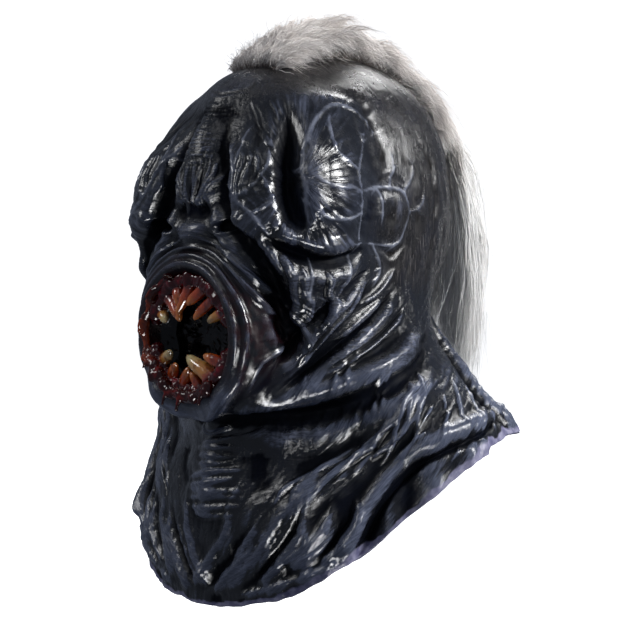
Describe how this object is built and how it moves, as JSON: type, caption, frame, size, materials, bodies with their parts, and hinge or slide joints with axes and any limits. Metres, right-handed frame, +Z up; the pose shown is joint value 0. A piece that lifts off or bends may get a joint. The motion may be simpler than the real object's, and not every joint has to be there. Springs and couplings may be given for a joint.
{
  "type": "latex halloween mask",
  "caption": "Over-the-head latex monster mask with a round toothed mouth, vision openings, a wide collar, a fur crest and a hanging hair mane.",
  "frame": {"origin": "middle of the wearer's head, level with the ears", "axes": "+Z up to the crown, the face looks along -Y, +X is the wearer's left"},
  "size_m": [0.3538, 0.3323, 0.4864],
  "materials": {
    "latex": "glossy black latex with dry-brushed blue-grey ridges",
    "net": "fine black net",
    "gum": "wet gloss over red latex",
    "tongue": "wet gloss over near-black latex",
    "gore": "clear red gel",
    "tooth": "stained ivory resin with a gloss coat",
    "backing": "knitted fur backing",
    "fur": "long grey-white synthetic hair"
  },
  "bodies": {
    "mask": {"latex_skin": "latex", "mouth_liner": "net", "upper_gum": "gum", "lower_gum": "gum", "tongue": "tongue", "gore_clots": "gore", "upper_tooth_1": "tooth", "upper_tooth_2": "tooth", "upper_tooth_3": "tooth", "upper_tooth_4": "tooth", "upper_tooth_5": "tooth", "upper_tooth_6": "tooth", "upper_tooth_7": "tooth", "lower_tooth_1": "tooth", "lower_tooth_2": "tooth", "lower_tooth_3": "tooth", "lower_tooth_4": "tooth", "lower_tooth_5": "tooth", "lower_tooth_6": "tooth", "eye_screen_left": "net", "eye_screen_right": "net", "crest_backing": "backing", "crest_front": "fur", "crest_top": "fur", "crest_crown": "fur"},
    "mane": {"mane_centre": "fur"},
    "left_lock": {"mane_left": "fur"},
    "right_lock": {"mane_right": "fur"}
  },
  "joints": [
    {"name": "mane_swing", "type": "hinge", "parent": "mask", "child": "mane", "pos_m": [0, 0.167, 0.062], "axis": [1, 0, 0], "range_deg": [0, 75]},
    {"name": "left_lock_sway", "type": "hinge", "parent": "mane", "child": "left_lock", "pos_m": [0.0215, 0.167, 0.062], "axis": [0, -1, 0], "range_deg": [0, 30]},
    {"name": "right_lock_sway", "type": "hinge", "parent": "mane", "child": "right_lock", "pos_m": [-0.0215, 0.167, 0.062], "axis": [0, 1, 0], "range_deg": [0, 30]}
  ]
}
